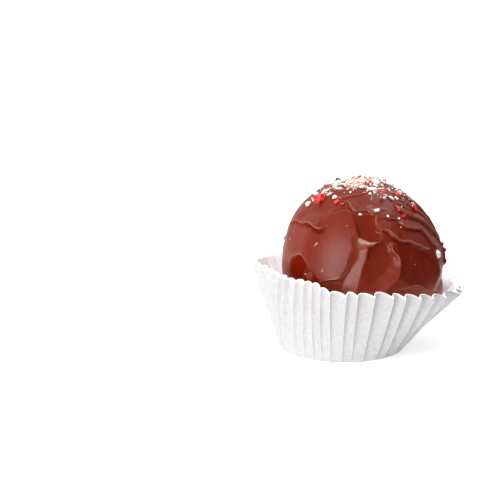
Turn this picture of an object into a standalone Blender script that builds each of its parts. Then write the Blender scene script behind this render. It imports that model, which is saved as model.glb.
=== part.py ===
"""A hand-dipped chocolate ball with crushed candy on top, sitting in its fluted paper case.

Metres, +Z up. The origin is the middle of the case's flat underside, and the ball's face looks along -Y.
"Around" is an angle counted from that face, positive to the right of someone who looks at it.
"Up" is an angle above the ball's own equator. Both are in degrees.
The relief of the chocolate is given in millimetres over a plain sphere, and becomes metres in relief_height.
"""

import math
import random

import bmesh
import bpy
import numpy as np
from mathutils import Matrix, Vector

MM = 0.001
FAR = 99
WIDEST_REACH = math.radians(85)
NOT_BEHIND = 0.3

# The ball
BALL_RADIUS = 20.8 * MM
BALL_ASIDE = 5.1 * MM
BALL_BACK = 3.8 * MM
BALL_CUTS = 24
FACES_UPWARD = 0.32
UNDULATION = 0.1
WAVE_LENGTH = 15
CALM_BELOW = -34
CALM_ABOVE = -12
CALM_SHARE = 0.25

# The paper case
PAPER = 0.3 * MM
GAP = 0.3 * MM
BASE_RADIUS = 16 * MM
FLUTES = 40
COLUMNS = 4
WALL_ROWS = 4
FLUTE_AT_BASE = 0.1 * MM
FLUTE_AT_RIM = 0.82 * MM
FLUTE_ROUNDNESS = 0.85

# The wall at its creases, around the case: around, lean from upright in degrees, slant length in mm,
# and how many degrees steeper the rim stands than the middle. The ball sits back and to the right,
# and pushes that side of the wall down.
WALL = [
    (-92, 18.5, 22.8, 6),
    (-66, 13, 22.5, 6),
    (-40, 14, 22.3, 5),
    (-19, 18, 22.9, 3),
    (-6, 26.5, 23.0, 1),
    (20, 30.5, 23.0, 0),
    (45, 37, 22.4, 0),
    (76, 43.6, 21.6, 0),
    (100, 45.3, 20.9, 0),
    (130, 50.3, 21.0, 0),
    (170, 43, 21.3, 1),
    (210, 32, 21.5, 3),
    (240, 26, 22.0, 5),
]

# The front creases: around at the rim, around at the base. The others are spaced evenly.
FRONT_CREASES = [(-42, -60), (-33, -46), (-25.5, -35), (-19, -26), (-12.5, -18), (-6.5, -9.5), (2.5, 0.5)]
FRONT_CREASES += [(8.5, 9), (17.5, 20), (27.5, 33), (34, 43), (42, 55), (49, 65), (59, 74), (76, 92)]

# Flattish places left by the dipping hand, carved out one after another:
# around, up, heading, half length, half width, depth, lean along, lean across
FACETS = [
    (-66, 12, 80, 10.0, 8.0, 0.45, 0.0, 0.0),
    (-62, 52, 10, 9.0, 6.0, 0.35, 0.0, 0.1),
    (5, 62, 0, 9.0, 5.0, 0.35, 0.0, 0.0),
    (74, 40, -30, 10.0, 7.0, 0.75, 0.0, 0.0),
]
BLEND = 0.15

# The big strokes of the face. Each replaces the relief inside its outline: height, degrees turned to
# the right, degrees turned up, heading, flatness along the heading and across it (0 follows the ball,
# 1 is flat, 2 is as hollow as the ball is round), and the outline, clockwise: around, up, softness
PATCHES = {
    "lower_right": (-0.8, 4, 0, 90, 0.5, 0.9, [
        (25, 0, 0.8), (28, 12, 0.8), (23, 26, 0.8), (41, 22, 0.6), (63, 13, 1), (71, -5, 1.5), (60, -14, 1),
        (50, -9, 0.4), (35, -3, 0.4),
    ]),
    "strip": (-0.35, -13, 0, 70, 0.85, 0.6, [
        (-15, -9, 0.4), (-14, 0, 0.3), (-9, 13, 1.5), (-4, 25, 2), (2, 25, 0.8), (5, 22, 0.5), (0, 7, 0.4),
        (-5, -10, 0.5),
    ]),
    "scoop": (-0.65, 7, 2, 68, 0.5, 1.5, [
        (-5, -10, 0.4), (0, 7, 0.4), (5, 22, 0.4), (13, 27, 0.5), (22, 25, 0.4), (26, 15, 0.4), (26, 4, 0.6),
        (10, -11, 0.7),
    ]),
    "cheek": (-0.25, 0, 0, 100, 0.35, 0.4, [
        (-34, -1, 0.3), (-42, 8, 1.5), (-50, 21, 3), (-45, 38, 2), (-28, 51, 1.2), (-12, 50, 0.5),
        (-6, 40, 0.4), (-3, 31, 0.5), (-7, 20, 1.5), (-12, 7, 0.3), (-16, 1, 0.3),
    ]),
    "thumb_print": (-0.75, 3, -3, 105, 0.9, 1.8, [
        (-2, 31, 0.3), (-6, 40, 0.4), (-12, 50, 0.6), (-1, 49, 0.6), (12, 47, 0.4), (15, 37, 0.4),
        (13, 27.5, 0.3), (6, 27, 0.3),
    ]),
    "low_left_pit": (-1.4, 4, -8, 90, 0.8, 0.8, [
        (-64, 2, 0.6), (-61, 9, 0.3), (-54, 12, 0.3), (-45, 9, 0.3), (-34, 0, 0.6), (-44, -9, 0.9),
        (-55, -9, 1), (-63, -5, 0.8),
    ]),
}
SOFTEST = 3
SHARPEST = 0.4

# Seams where one smear ends on another. The surface climbs to the lip from the left side of its line
# and drops behind it: rise, reach, drop, sink, and the line: around, up, strength
SEAMS = [
    (0.6, 4.5, 0.7, 2.4, [
        (-98, 21, 0.3), (-88, 27, 0.8), (-77, 33, 1), (-54, 36, 1), (-44, 34, 1.3), (-37, 34, 1),
        (-32, 38, 0),
    ]),
    (0.16, 3.0, 0.08, 2.0, [(-56, 34, 0), (-46, 42, 0.8), (-28, 53, 1), (-12, 57, 0)]),
    (0.3, 2.6, 0.25, 2.0, [(-28, 61, 0), (-16, 56, 1), (-8, 51, 1), (7, 51, 0.8), (15, 48, 0)]),
    (0.2, 2.4, 0.15, 1.5, [(-50, 59, 0), (-31, 65, 1), (-6, 69, 0.8), (7, 72, 0)]),
    (0.25, 2.4, 0.25, 1.5, [(16, 45, 0), (21, 45, 0.7), (33, 43, 1), (46, 46, 0)]),
    (0.15, 2.0, 0.2, 1.4, [(44, 62, 0), (52, 53, 1), (64, 47, 0)]),
    (0.8, 3.2, 0.3, 1.0, [
        (44, 58, 0), (45, 50, 0.9), (53, 44, 1), (67, 37, 1), (77, 27, 1), (78, 23, 0.8), (84, 12, 0),
    ]),
    (0.8, 3.2, 0.35, 1.0, [
        (35, 44, 0), (38, 37, 0.9), (47, 34, 1), (56, 32, 1), (61, 26, 1), (66, 19, 1), (70, 10, 0),
    ]),
    (0.8, 3.0, 0.4, 1.3, [
        (14, 35, 0), (18, 36, 0.5), (25, 31, 1), (30, 27, 0.9), (40, 25, 1), (48, 21, 0.8), (60, 16, 0),
    ]),
    (0.25, 2.4, 0.05, 1.2, [(60, 58, 0), (70, 50, 0.8), (84, 33, 1), (90, 14, 0)]),
    (0.25, 2.4, 0.05, 1.2, [(75, 62, 0), (90, 41, 1), (96, 20, 0)]),
    (0.8, 1.2, 0.0, 1.0, [(27, 8, 0), (26, 16, 0.9), (23, 23, 1.1), (21, 27, 0)]),
    (1.2, 2.4, 0.0, 1.0, [
        (3, -14, 0.3), (8, -10, 0.9), (19, -2, 1), (24, 2, 0.9), (27, 8, 0.6), (26, 18, 0),
    ]),
    (0.2, 1.6, 0.35, 1.8, [(-38, -3, 0), (-27, -1, 1), (-17, 1, 1), (-14, 3, 0)]),
    (0.2, 1.6, 0.0, 1.0, [(-66, 1, 0), (-61, 10, 1), (-54, 13, 1.2), (-45, 11, 0.7), (-43, 8, 0)]),
    (0.2, 2.0, 0.2, 1.5, [(21, -7, 0.3), (32, -7, 1), (44, -7, 1), (56, -13, 1), (82, -19, 0.6)]),
]
SEAM_EDGE = 0.4
STEEPENING = 1.1
HOLLOWING = 1.6

# Lumps: around, up, heading, half length, half width, height
LUMPS = [
    (-112, 52, 90, 13.0, 10.0, 0.75),
    (-128, 68, 20, 1.8, 1.0, 1.6),
    (-40, -1, 60, 1.8, 1.3, 0.2),
    (-170, 80, 0, 8.0, 6.0, 0.75),
    (92, 4, 90, 3.4, 1.7, 0.75),
    (92, 8, 90, 0.9, 1.0, 1.1),
    (90, 0.5, 90, 1.3, 1.2, 1.0),
    (84, -21.5, 0, 5.0, 4.0, 1.35),
]

# Smears of the sides and the back, drawn at random: rows as (up, how many), and the arc they fill
SMEAR_ROWS = [(58, 5), (34, 7), (10, 9), (-12, 8)]
SMEAR_FROM = 98
SMEAR_TO = 268
SMEAR_SEED = 4

# Candy pieces that stand out: kind, around, up, length, width, slant in the front view in degrees
CANDY = [
    ("white", -100, 72, 2.1, 1.8, 20),
    ("white", -60, 71, 1.2, 0.8, 60),
    ("white", -77, 64, 1.2, 0.7, 10),
    ("white", -62, 63, 1.4, 0.7, 25),
    ("white", -47, 62, 1.5, 1.0, 5),
    ("white", -93, 55, 1.2, 0.9, 30),
    ("white", -76, 53, 1.6, 0.7, 70),
    ("white", -76, 48, 2.0, 1.4, 55),
    ("white", -105, 50, 1.3, 1.1, 40),
    ("white", 25, 75, 3.2, 0.9, -10),
    ("white", 15, 70, 1.0, 0.9, 0),
    ("white", -3, 78, 1.3, 1.0, 20),
    ("white", -60, 85, 1.5, 1.2, 0),
    ("white", -95, 77, 1.5, 1.1, 30),
    ("white", 85, 80, 2.8, 1.8, -10),
    ("white", 46, 62, 2.1, 1.3, -15),
    ("white", 35, 63, 1.0, 0.9, 0),
    ("white", 55, 60, 1.4, 0.9, 0),
    ("white", 42, 66, 1.0, 0.7, -20),
    ("white", 14, 52, 1.7, 1.1, 15),
    ("white", -3, 49, 0.9, 0.7, -30),
    ("white", 26, 46, 0.8, 0.7, 0),
    ("white", 69, 11, 2.3, 1.5, -60),
    ("red", -68, 58, 2.6, 2.0, 60),
    ("red", -60, 52, 1.3, 1.0, -10),
    ("red", -65, 53, 1.1, 0.9, 40),
    ("red", -37, 58, 1.4, 1.1, 10),
    ("red", -27, 58, 1.3, 0.9, 80),
    ("red", -5, 82, 1.3, 0.8, 40),
    ("red", 57, 84, 1.3, 1.1, 0),
    ("red", 128, 70, 1.4, 1.2, 60),
    ("red", 142, 74, 1.1, 0.8, 45),
    ("red", 68, 63, 2.0, 1.6, 20),
    ("red", 35, 68, 1.3, 1.2, 80),
    ("red", 74, 47, 1.8, 1.4, -60),
    ("red", 45, 44, 1.3, 1.1, 30),
    ("red", 43, 51, 1.2, 1.0, 70),
    ("red", 82, 61, 1.3, 0.9, 10),
    ("red", 113, 60, 0.9, 0.8, 40),
]
CORNERS = 11
CRUMBS = 30
CRUMB_CORNERS = 8
CRUMB_SIZE = (0.8, 1.5)
CRUMB_SPREAD = 34
CRUMBS_AROUND = (100, 260)
RED_SHARE = 0.25
CANDY_SEED = 11
SHAPE_SEED = 14
SUNK_SHARE = 0.25

MILK_CHOCOLATE = (0.25, 0.032, 0.013, 1)
CANDY_WHITE = (0.9, 0.86, 0.8, 1)
CANDY_RED = (0.7, 0.02, 0.02, 1)
PAPER_WHITE = (0.82, 0.81, 0.81, 1)


# Small helpers


def clear_scene():
    for thing in list(bpy.data.objects):
        bpy.data.objects.remove(thing)


def new_collection(name):
    made = bpy.data.collections.new(name)
    bpy.context.scene.collection.children.link(made)
    return made


def new_object(name, mesh, collection):
    made = bpy.data.objects.new(name, mesh)
    collection.objects.link(made)
    return made


def plain_material(name, colour, roughness):
    made = bpy.data.materials.new(name)
    made.use_nodes = True
    shader = made.node_tree.nodes["Principled BSDF"]
    shader.inputs["Base Color"].default_value = colour
    shader.inputs["Roughness"].default_value = roughness
    shader.inputs["Metallic"].default_value = 0
    return made


def ease(low, high, x):
    """0 below low, 1 above high, and a smooth rise between them."""
    t = np.clip((x - low) / (high - low), 0, 1)
    return t * t * (3 - 2 * t)


def smooth_min(a, b, blend):
    """The lower of two heights, with the corner between them rounded off."""
    share = np.clip(0.5 + 0.5 * (b - a) / blend, 0, 1)
    return b * (1 - share) + a * share - blend * share * (1 - share)


def direction(around, up):
    """The unit vector, or vectors, that point from the ball's middle to that place."""
    a = np.radians(around)
    u = np.radians(up)
    return np.stack([np.sin(a) * np.cos(u), -np.cos(a) * np.cos(u), np.sin(u)], axis=-1)


def smooth_line(points, closed=False, steps=6):
    """A Catmull-Rom line through the points: directions, and the third number at each."""
    p = np.array(points, float)
    if closed:
        p = np.vstack([p[-1], p, p[:2]])
    else:
        p = np.vstack([2 * p[0] - p[1], p, 2 * p[-1] - p[-2]])
    line = []
    for before, start, end, after in zip(p, p[1:], p[2:], p[3:]):
        for t in np.arange(steps) / steps:
            line.append(
                start
                + 0.5 * t * (end - before)
                + t * t * (before - 2.5 * start + 2 * end - 0.5 * after)
                + t**3 * (1.5 * start - 1.5 * end + 0.5 * after - 0.5 * before)
            )
    line.append(p[-2])
    line = np.array(line)
    return direction(line[:, 0], line[:, 1]), np.maximum(line[:, 2], 0)


def nearest_on_line(places, line, number):
    """How far each place lies to the left of the line, in millimetres, and the number there."""
    nearest = np.full(len(places), float(FAR))
    left_of = np.zeros(len(places))
    value = np.zeros(len(places))
    for i in range(len(line) - 1):
        span = line[i + 1] - line[i]
        share = np.clip((places - line[i]) @ span / (span @ span), 0, 1)
        off = places - line[i] - share[:, None] * span
        away = np.linalg.norm(off, axis=1)
        closer = away < nearest
        nearest = np.where(closer, away, nearest)
        left_of = np.where(closer, np.where(off @ np.cross(line[i], span) > 0, away, -away), left_of)
        value = np.where(closer, number[i] + share * (number[i + 1] - number[i]), value)
    return left_of * BALL_RADIUS / MM, value


def close_to_line(places, line, margin):
    """The numbers of the places within the line's own reach and a margin in mm, and the line's middle."""
    middle = line.mean(axis=0) / np.linalg.norm(line.mean(axis=0))
    reach = math.acos((line @ middle).min()) + margin * MM / BALL_RADIUS
    return np.nonzero(places @ middle > math.cos(min(reach, WIDEST_REACH)))[0], middle


def waves(places, wave_length, seed, count=7):
    """A smooth random field from about -1 to 1 over the ball: a few plane waves added up."""
    draw = random.Random(seed)
    total = np.zeros(len(places))
    for _ in range(count):
        heading = Vector([draw.gauss(0, 1) for _ in range(3)]).normalized()
        turns = places @ np.array(heading) * BALL_RADIUS / MM / wave_length
        total += np.sin(2 * math.pi * (turns + draw.random()))
    return total / count**0.5 / 1.5


# The ball's relief


def bowl(places, around, up, heading, half_length, half_width):
    """0 at the middle of a place, 1 on its oval rim, with the distances along and across it."""
    middle = direction(around, up)
    right = np.array([math.cos(math.radians(around)), math.sin(math.radians(around)), 0])
    above = np.cross(middle, right)
    turn = math.radians(heading)
    along = places @ (math.cos(turn) * right + math.sin(turn) * above) * BALL_RADIUS / MM / half_length
    across = places @ (math.cos(turn) * above - math.sin(turn) * right) * BALL_RADIUS / MM / half_width
    near = places @ middle > NOT_BEHIND
    return np.where(near, along**2 + across**2, FAR), along, across


def carve(relief, places, facet):
    *place, depth, lean_along, lean_across = facet
    rim, along, across = bowl(places, *place)
    floor = depth * (rim - 1) + lean_along * along + lean_across * across
    return smooth_min(relief, np.where(rim < FAR, floor, FAR), BLEND)


def paint_patch(relief, places, patch):
    """Replaces the relief inside the patch's outline, in place."""
    height, turned_right, turned_up, heading, flat_along, flat_across, outline = patch
    line, softness = smooth_line(outline, closed=True)
    close, middle = close_to_line(places, line, 3 * SOFTEST)
    near = places[close]
    left_of, soft = nearest_on_line(near, line, softness)
    right = np.array([-middle[1], middle[0], 0]) / math.hypot(middle[0], middle[1])
    x = near @ right * BALL_RADIUS / MM
    y = near @ np.cross(middle, right) * BALL_RADIUS / MM
    turn = math.radians(heading)
    along = x * math.cos(turn) + y * math.sin(turn)
    across = x * math.sin(turn) - y * math.cos(turn)
    level = height + (flat_along * along**2 + flat_across * across**2) / (2 * BALL_RADIUS / MM)
    level -= math.tan(math.radians(turned_right)) * x + math.tan(math.radians(turned_up)) * y
    inside = ease(-1, 1, -left_of / np.maximum(soft, SHARPEST))
    relief[close] += inside * (level - relief[close])


def add_lump(relief, places, lump):
    *place, height = lump
    rim, _, _ = bowl(places, *place)
    return -smooth_min(-relief, -height * (1 - rim), BLEND)


def add_seam(relief, places, seam):
    """Adds the climb to the lip and the drop behind it to the relief, in place."""
    rise, reach, drop, sink, points = seam
    line, strength = smooth_line(points)
    close, _ = close_to_line(places, line, 2 * max(reach, sink))
    left_of, force = nearest_on_line(places[close], line, strength)
    high = rise * np.clip(1 - left_of / reach, 0, 1) ** STEEPENING
    low = drop * np.clip(1 + left_of / sink, 0, 1) ** HOLLOWING
    side = ease(-SEAM_EDGE, SEAM_EDGE, left_of)
    relief[close] += force * (side * high - (1 - side) * low)


def back_smears():
    """Facets and seams like the face's own, for the sides and the back."""
    draw = random.Random(SMEAR_SEED)
    facets = []
    seams = []
    for up, count in SMEAR_ROWS:
        step = (SMEAR_TO - SMEAR_FROM) / count
        for i in range(count):
            around = SMEAR_FROM + (i + 0.5 + draw.uniform(-0.25, 0.25)) * step
            level = up + draw.uniform(-7, 7)
            size = draw.uniform(5.5, 9.5)
            shape = draw.uniform(0.5, 0.75)
            depth = draw.uniform(0.35, 0.85)
            lean = draw.uniform(-0.3, 0.3)
            facets.append((around, level, draw.uniform(20, 110), size, shape * size, depth, 0.1, lean))
            if draw.random() < 0.6:
                half = draw.uniform(12, 20)
                bend = draw.uniform(-6, 9)
                line = [
                    (around - half, level + draw.uniform(-7, 7), 0),
                    (around - 0.5 * half, level + bend, draw.uniform(0.7, 1.1)),
                    (around + 0.3 * half, level + 0.6 * bend + draw.uniform(-4, 4), draw.uniform(0.7, 1.1)),
                    (around + half, level + draw.uniform(-7, 7), 0),
                ]
                seams.append((draw.uniform(0.25, 0.55), 3.5, draw.uniform(0.2, 0.45), 2.2, line))
    return facets, seams


def relief_height(places):
    """How far the surface stands out from the plain sphere at each unit direction, in metres."""
    back_facets, back_seams = back_smears()
    relief = UNDULATION * waves(places, WAVE_LENGTH, SMEAR_SEED)
    for facet in back_facets + FACETS:
        relief = carve(relief, places, facet)
    for patch in PATCHES.values():
        paint_patch(relief, places, patch)
    for seam in back_seams + SEAMS:
        add_seam(relief, places, seam)
    up = np.degrees(np.arcsin(np.clip(places[:, 2], -1, 1)))
    relief *= CALM_SHARE + (1 - CALM_SHARE) * ease(CALM_BELOW, CALM_ABOVE, up)
    for lump in LUMPS:
        relief = add_lump(relief, places, lump)
    return relief * MM


def ball_middle():
    return Vector((BALL_ASIDE, BALL_BACK, PAPER + GAP + BALL_RADIUS))


def make_ball(collection, chocolate):
    """A cube cut into a fine grid and blown up to a ball, with more of its faces on the half that shows."""
    bm = bmesh.new()
    bmesh.ops.create_cube(bm, size=2)
    bmesh.ops.subdivide_edges(bm, edges=bm.edges[:], cuts=BALL_CUTS, use_grid_fill=True)
    evened = np.tan(np.array([v.co for v in bm.verts]) * math.pi / 4)
    evened /= np.linalg.norm(evened, axis=1)[:, None]
    lifted = evened + np.array([0, 0, FACES_UPWARD])
    places = lifted / np.linalg.norm(lifted, axis=1)[:, None]
    radius = BALL_RADIUS + relief_height(places)
    for vertex, place, r in zip(bm.verts, places, radius):
        vertex.co = ball_middle() + Vector(place) * r
    mesh = bpy.data.meshes.new("chocolate_sphere")
    bm.to_mesh(mesh)
    bm.free()
    mesh.materials.append(chocolate)
    mesh.shade_smooth()
    return new_object("chocolate_sphere", mesh, collection)


# The candy


def make_shard(name, ball, place, length, width, slant, corners, draw, material, collection):
    """A splinter of hard candy: the hull of a few random points, stretched to its size in millimetres
    and sunk a little into the chocolate. Its length is slanted that much from level, seen from the front."""
    bm = bmesh.new()
    for _ in range(corners):
        bm.verts.new(Vector([draw.gauss(0, 1) for _ in range(3)]).normalized())
    bmesh.ops.convex_hull(bm, input=bm.verts[:])
    bmesh.ops.delete(bm, geom=[v for v in bm.verts if not v.link_faces], context="VERTS")
    bmesh.ops.recalc_face_normals(bm, faces=bm.faces[:])
    for axis, size in enumerate((length, width, width * draw.uniform(0.75, 1.0))):
        ends = [v.co[axis] for v in bm.verts]
        for vertex in bm.verts:
            vertex.co[axis] *= size * MM / (max(ends) - min(ends))
    lowest = min(v.co.z for v in bm.verts)
    highest = max(v.co.z for v in bm.verts)
    mesh = bpy.data.meshes.new(name)
    bm.to_mesh(mesh)
    bm.free()
    mesh.materials.append(material)
    out = Vector(place)
    tilt = math.radians(slant)
    along = Vector((math.cos(tilt), 0, math.sin(tilt)))
    along = (along - along.dot(out) * out).normalized()
    turn = Matrix((along, out.cross(along), out)).transposed().to_4x4()
    surface = ball.ray_cast(ball_middle(), out)[1]
    centre = surface - out * (lowest + SUNK_SHARE * (highest - lowest))
    shard = new_object(name, mesh, collection)
    shard.matrix_world = Matrix.Translation(centre) @ turn
    return shard


def make_candy(ball, collection, materials):
    shape = random.Random(SHAPE_SEED)
    for i, (kind, around, up, length, width, slant) in enumerate(CANDY):
        place = direction(around, up)
        material = materials[kind]
        make_shard(f"candy_{i}", ball, place, length, width, slant, CORNERS, shape, material, collection)
    scatter = random.Random(CANDY_SEED)
    for i in range(CRUMBS):
        up = 90 - CRUMB_SPREAD * scatter.random() ** 0.6
        place = direction(scatter.uniform(*CRUMBS_AROUND), up)
        kind = "red" if scatter.random() < RED_SHARE else "white"
        length = scatter.uniform(*CRUMB_SIZE)
        width = length * scatter.uniform(0.6, 0.9)
        slant = scatter.uniform(0, 360)
        material = materials[kind]
        corners = CRUMB_CORNERS
        make_shard(f"crumb_{i}", ball, place, length, width, slant, corners, shape, material, collection)


def join(body, pieces):
    """One union of the body with a whole collection, applied, after which the pieces are removed."""
    modifier = body.modifiers.new("join", "BOOLEAN")
    modifier.operation = "UNION"
    modifier.operand_type = "COLLECTION"
    modifier.collection = pieces
    modifier.solver = "EXACT"
    bpy.context.view_layer.update()
    evaluated = body.evaluated_get(bpy.context.evaluated_depsgraph_get())
    joined = bpy.data.meshes.new_from_object(evaluated)
    body.modifiers.clear()
    body.data = joined
    for piece in list(pieces.objects):
        bpy.data.objects.remove(piece)
    bpy.data.collections.remove(pieces)


# The paper case


def wall_values(around):
    """The row of WALL for any place around the case, by a smooth curve through the rows."""
    rows = np.array(WALL, float)
    from_first = (around - rows[0, 0]) % 360 + rows[0, 0]
    first = int(np.searchsorted(rows[:, 0], from_first, side="right")) - 1
    turn = np.array([360, 0, 0, 0])
    before, start, end, after = (
        rows[(first + k) % len(rows)] + turn * ((first + k) // len(rows)) for k in (-1, 0, 1, 2)
    )
    t = (from_first - start[0]) / (end[0] - start[0])
    slope_start = (end - before) / (end[0] - before[0]) * (end[0] - start[0])
    slope_end = (after - start) / (after[0] - start[0]) * (end[0] - start[0])
    return (
        start * (1 + 2 * t) * (1 - t) ** 2
        + slope_start * t * (1 - t) ** 2
        + end * t * t * (3 - 2 * t)
        + slope_end * t * t * (t - 1)
    )


def creases():
    """The wall's outward creases, once around and closed: around at the rim and around at the base."""
    front = np.array(FRONT_CREASES, float)
    closing = front[0] + 360
    missing = FLUTES - len(front)
    draw = random.Random(SMEAR_SEED)
    shares = [(i + 1 + draw.uniform(-0.12, 0.12)) / (missing + 1) for i in range(missing)]
    rest = [front[-1] + share * (closing - front[-1]) for share in shares]
    return np.vstack([front, rest, closing])


def wall_point(rim_around, base_around, share, ridge):
    """A point of the wall's outer skin: share runs from 0 at the base to 1 at the rim, and ridge from
    0 on a crease to -1 in the bottom of a flute."""
    _, lean, slant, bow = wall_values(rim_around)
    now = math.radians(lean + bow * (1 - 2 * share))
    middle = math.radians(lean + bow * (1 - share))
    out = BASE_RADIUS + slant * MM * share * math.sin(middle)
    height = slant * MM * share * math.cos(middle)
    depth = 2 * ridge * (FLUTE_AT_BASE + (FLUTE_AT_RIM - FLUTE_AT_BASE) * share**0.7)
    out += depth * math.cos(now)
    height -= depth * math.sin(now) * min(1, 5 * share)
    turn = math.radians(base_around + (rim_around - base_around) * share)
    return Vector((out * math.sin(turn), -out * math.cos(turn), height))


def make_case(collection, paper):
    """A grid wrapped round into the fluted wall, closed by a flat base, and given its thickness."""
    folds = creases()
    columns = FLUTES * COLUMNS
    bm = bmesh.new()
    bmesh.ops.create_grid(bm, x_segments=columns, y_segments=WALL_ROWS, size=0.5)
    for vertex in bm.verts:
        column = round((vertex.co.x + 0.5) * columns)
        flute = min(column // COLUMNS, FLUTES - 1)
        part = column / COLUMNS - flute
        rim_around, base_around = folds[flute] + part * (folds[flute + 1] - folds[flute])
        ridge = -math.sin(math.pi * part) ** FLUTE_ROUNDNESS if 0 < part < 1 else 0
        vertex.co = wall_point(rim_around, base_around, vertex.co.y + 0.5, ridge)
    bmesh.ops.remove_doubles(bm, verts=bm.verts[:], dist=0.001 * MM)
    base_edges = [e for e in bm.edges if e.is_boundary and max(v.co.z for v in e.verts) < PAPER / 3]
    base = bmesh.ops.contextual_create(bm, geom=base_edges)["faces"][0]
    bmesh.ops.recalc_face_normals(bm, faces=bm.faces[:])
    if base.normal.z > 0:
        bmesh.ops.reverse_faces(bm, faces=bm.faces[:])
    mesh = bpy.data.meshes.new("paper_case")
    bm.to_mesh(mesh)
    bm.free()
    mesh.materials.append(paper)
    case = new_object("paper_case", mesh, collection)
    thickness = case.modifiers.new("thickness", "SOLIDIFY")
    thickness.thickness = PAPER
    thickness.offset = -1
    thickness.use_even_offset = True
    return case


def main():
    clear_scene()
    parts = new_collection("hot_chocolate_sphere")
    pieces = new_collection("candy_pieces")
    chocolate = plain_material("milk_chocolate", MILK_CHOCOLATE, 0.35)
    candy = {
        "white": plain_material("white_candy", CANDY_WHITE, 0.3),
        "red": plain_material("red_candy", CANDY_RED, 0.25),
    }
    paper = plain_material("greaseproof_paper", PAPER_WHITE, 0.8)
    ball = make_ball(parts, chocolate)
    bpy.context.view_layer.update()
    make_candy(ball, pieces, candy)
    join(ball, pieces)
    make_case(parts, paper)


main()
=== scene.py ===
# %% [markdown]
# # A dipped chocolate ball in a paper case
#
# The real thing is a ball of chocolate that was dipped in melted chocolate by hand, topped with crushed
# candy while still soft, and set in a fluted paper case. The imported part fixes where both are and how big.
# This notebook gives them their looks: a finer relief for the smeared coating, separate candy splinters,
# thin paper with crisp flutes, and the finishes. Lengths in the tables are in millimetres, and Blender gets
# them in metres.

import math
import random

import bmesh
import bpy
import numpy as np
from mathutils import Matrix, Vector


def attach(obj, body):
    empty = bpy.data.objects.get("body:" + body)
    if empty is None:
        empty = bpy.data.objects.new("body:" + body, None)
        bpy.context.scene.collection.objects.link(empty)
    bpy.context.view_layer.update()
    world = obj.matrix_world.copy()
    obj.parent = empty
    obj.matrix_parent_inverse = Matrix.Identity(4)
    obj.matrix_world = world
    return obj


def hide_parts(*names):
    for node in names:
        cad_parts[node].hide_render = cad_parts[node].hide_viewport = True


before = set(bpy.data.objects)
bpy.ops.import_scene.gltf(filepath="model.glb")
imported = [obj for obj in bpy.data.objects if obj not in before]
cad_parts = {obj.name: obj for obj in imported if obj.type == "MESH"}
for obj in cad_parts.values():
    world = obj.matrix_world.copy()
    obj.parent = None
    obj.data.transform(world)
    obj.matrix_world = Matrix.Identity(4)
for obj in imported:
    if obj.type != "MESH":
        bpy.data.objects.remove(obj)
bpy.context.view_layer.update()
MM = 0.001
scene = bpy.context.scene

# %% [markdown]
# ## The camera
#
# The picture looks down on the case by 16.6 degrees, from 0.7 m away. Food is usually photographed through
# a long lens, which keeps a ball round. The case stands right of the middle of the frame, so the camera
# turns a little away from it instead of shifting its lens.

# %% The camera
CAMERA_AWAY = 0.7
CAMERA_LOOKS_DOWN = math.radians(16.6)
CAMERA_PITCH = math.radians(90 - 14.63)
CAMERA_TURN = math.radians(2)
LENS_MM = 193.87


def new_object(name, data):
    made = bpy.data.objects.new(name, data)
    scene.collection.objects.link(made)
    return made


camera_data = bpy.data.cameras.new("camera")
camera_data.lens = LENS_MM
camera_data.sensor_width = 36
camera_data.clip_start = 0.01
camera = new_object("camera", camera_data)
camera.location = (0, -CAMERA_AWAY * math.cos(CAMERA_LOOKS_DOWN), CAMERA_AWAY * math.sin(CAMERA_LOOKS_DOWN))
camera.rotation_euler = (CAMERA_PITCH, 0, CAMERA_TURN)
scene.camera = camera
print("camera height in mm:", round(camera.location.z / MM))

# %% [markdown]
# ## Nodes
#
# The finishes, the floor and the room are all made of shader nodes, always in the same steps: make a node,
# set its options, and give each socket a value or a link. Two helpers do that, so that a finish below reads
# like a recipe.

# %% Helpers for nodes
WHITE = (1, 1, 1, 1)


def feed(node, values):
    """Fills sockets of a node: the output of another node is linked, and anything else is set."""
    for socket, value in values.items():
        if isinstance(value, bpy.types.NodeSocket):
            node.id_data.links.new(value, node.inputs[socket])
        else:
            node.inputs[socket].default_value = value


def add_node(tree, kind, values=None, **options):
    node = tree.nodes.new("ShaderNode" + kind)
    for option, value in options.items():
        setattr(node, option, value)
    feed(node, values or {})
    return node


def fade(tree, value, start, end, low=0, high=1):
    """A smooth change from low to high while the value goes from start to end."""
    ends = {"From Min": start, "From Max": end, "To Min": low, "To Max": high}
    node = add_node(tree, "MapRange", {"Value": value, **ends}, interpolation_type="SMOOTHSTEP")
    return node.outputs["Result"]


def mix_values(tree, mask, first, second):
    return add_node(tree, "Mix", {"Factor": mask, "A": first, "B": second}).outputs["Result"]


def solid_finish(name, colour, roughness):
    """A new material of one colour and roughness, and its Principled shader."""
    made = bpy.data.materials.new(name)
    made.use_nodes = True
    shader = made.node_tree.nodes["Principled BSDF"]
    feed(shader, {"Base Color": (*colour, 1), "Roughness": roughness})
    return made, shader


print("a node is made by", add_node.__name__)

# %% [markdown]
# ## The studio
#
# The light is soft and almost shadowless. The floor is bright near the piece, throws light back up, and
# fades further out. The room is bright behind the left side and almost dark elsewhere, because it is the
# reflection of bright surroundings, and not its own colour, that would make dark chocolate look milky. One
# panel at the front left draws the long soft gleams, one behind veils the upper right edge, and those that
# only fill shadows are hidden from reflections. An area light's size decides how soft its gleam is.

# %% The floor and the room
FLOOR_SIZE = 4
FLOOR_SPOT = (-0.15, 0.05, 0)
# distances from the spot's middle where it starts and ends to fade
FLOOR_FADE = (0.17, 0.27)
# inside and outside the spot: colour, glow on the piece, glow that the camera sees
FLOOR_VALUES = [(0.93, 0.12), (0.2, 0), (0.45, 1)]
BRIGHT_SIDE = (-130, 35)
# cosines of the angle from the bright side, then values on the dark side and on the bright side
ROOM_FADE = (-0.5, 0.9)
ROOM_GLOW = (0.03, 0.75)


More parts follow.
